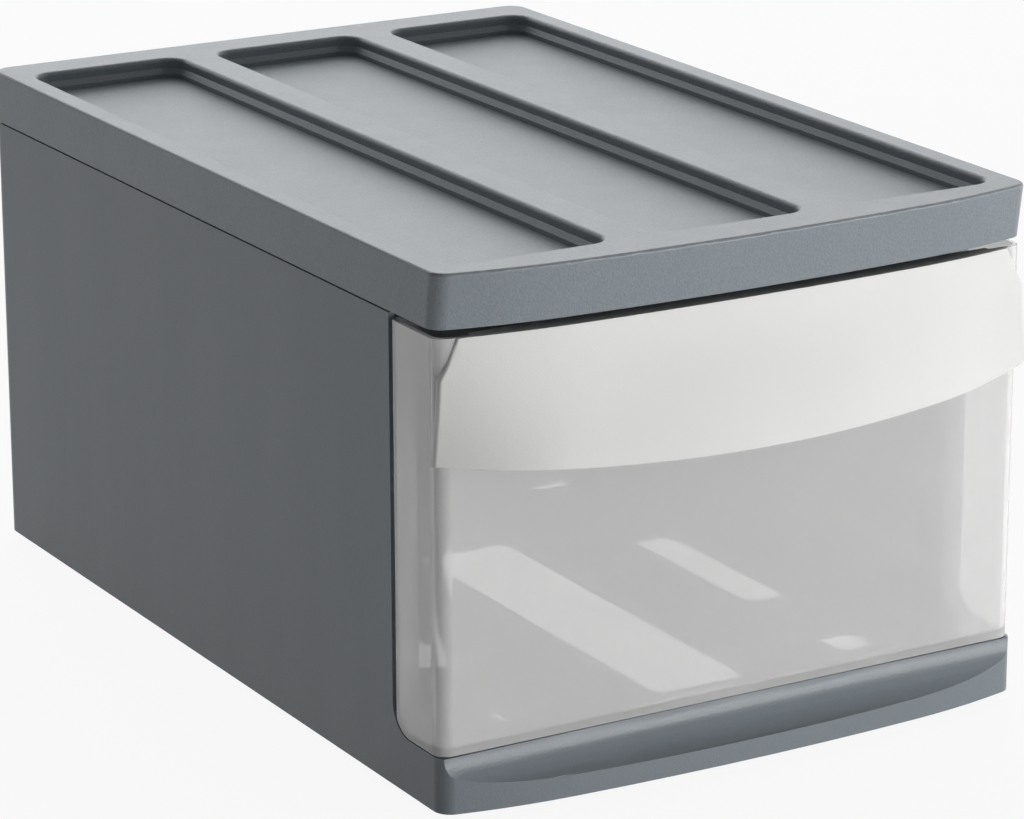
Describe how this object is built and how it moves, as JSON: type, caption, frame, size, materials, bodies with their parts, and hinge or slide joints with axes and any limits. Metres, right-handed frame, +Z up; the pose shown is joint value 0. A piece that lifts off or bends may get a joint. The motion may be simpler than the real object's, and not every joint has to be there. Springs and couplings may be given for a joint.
{
  "type": "stackable drawer box",
  "caption": "Stackable drawer box: moulded casing, top cover with long trays, clear drawer on glide ribs with a flared frosted pull, and feet that drop into the cover below.",
  "frame": {"origin": "on the table, under the middle of the whole box", "axes": "+X to the right seen from the front, the drawer opens towards -Y, +Z up"},
  "size_m": [0.2532, 0.3948, 0.203],
  "materials": {
    "casing": "satin anthracite",
    "cover": "satin anthracite, finely textured top",
    "drawer": "clear, slightly milky",
    "pull": "frosted, translucent white"
  },
  "bodies": {
    "box": {"casing": "casing", "top_cover": "cover"},
    "drawer_unit": {"drawer": "drawer", "drawer_pull": "pull"}
  },
  "joints": [
    {"name": "drawer_slide", "type": "slide", "parent": "box", "child": "drawer_unit", "axis": [0, -1, 0], "range_m": [0, 0.2869]}
  ]
}
